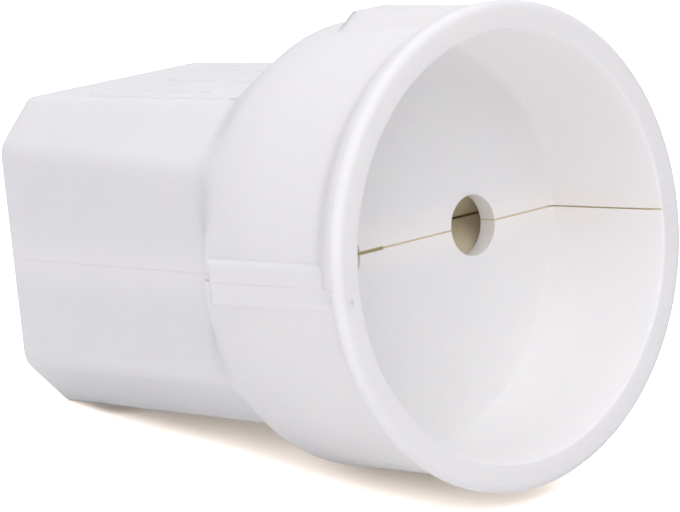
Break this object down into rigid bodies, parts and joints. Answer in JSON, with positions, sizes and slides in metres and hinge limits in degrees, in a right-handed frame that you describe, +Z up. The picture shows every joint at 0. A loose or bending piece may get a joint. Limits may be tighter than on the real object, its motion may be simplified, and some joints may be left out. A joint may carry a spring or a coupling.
{
  "type": "inline socket connector",
  "caption": "Inline mains socket with a deep round recess for an unearthed plug, a rim bead and ribs, and a flat-sided body of screwed half shells that holds brass contacts and a cord clamp.",
  "frame": {"origin": "middle of the underside of the box around the socket as it lies on a table", "axes": "+Z up, +X towards the mouth, +Y across; the socket's own axis is tipped up at the mouth by about 10.5 degrees, because it lies on its rear lower edge and on the rear edge of the round barrel"},
  "size_m": [0.0624, 0.048, 0.0492],
  "materials": {
    "white_plastic": "satin white",
    "brass": "plain rolled",
    "steel": "zinc plated",
    "grey_plastic": "matt"
  },
  "bodies": {
    "root": {"upper_shell": "white_plastic", "lower_shell": "white_plastic", "contact_clip_left": "brass", "contact_clip_right": "brass", "terminal_block_left": "brass", "terminal_block_right": "brass", "terminal_screw_left": "steel", "terminal_screw_right": "steel", "cord_clamp_bar": "grey_plastic", "cord_clamp_screw_left": "steel", "cord_clamp_screw_right": "steel", "housing_screw_front": "steel", "housing_screw_rear_left": "steel", "housing_screw_rear_right": "steel"}
  },
  "joints": []
}
